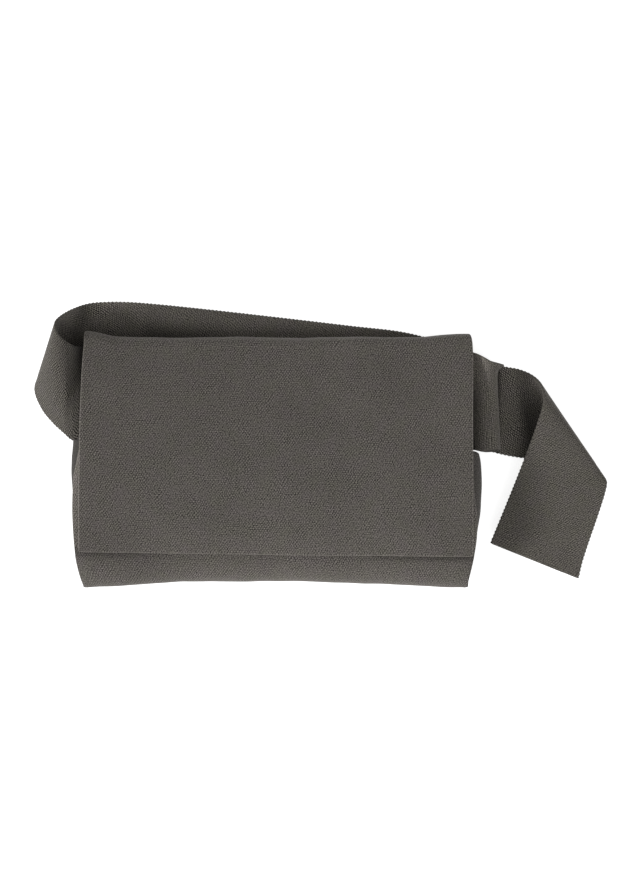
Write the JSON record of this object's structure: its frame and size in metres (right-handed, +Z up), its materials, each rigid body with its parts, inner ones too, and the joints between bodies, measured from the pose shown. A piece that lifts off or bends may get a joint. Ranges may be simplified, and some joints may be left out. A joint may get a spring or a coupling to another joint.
{
  "type": "flap bag",
  "caption": "Soft cloth shoulder bag lying on its back: a wide front flap over an open pouch with side gussets, and a broad tape strap laid under it beside a short tape loop.",
  "frame": {"origin": "on the surface that the bag lies on, under the middle of its back panel", "axes": "+X across the bag towards the loop side, +Y from the bottom of the bag towards its top, +Z up from the surface, out of the flap"},
  "size_m": [0.4723, 0.235, 0.0485],
  "materials": {
    "body_cloth": "matt warm dark grey twill",
    "strap_tape": "matt warm dark grey woven tape with a fine toothed selvedge"
  },
  "bodies": {
    "root": {"back_flap": "body_cloth", "front_panel": "body_cloth", "gusset_left": "body_cloth", "gusset_right": "body_cloth", "strap": "strap_tape", "strap_loop": "strap_tape"}
  },
  "joints": []
}
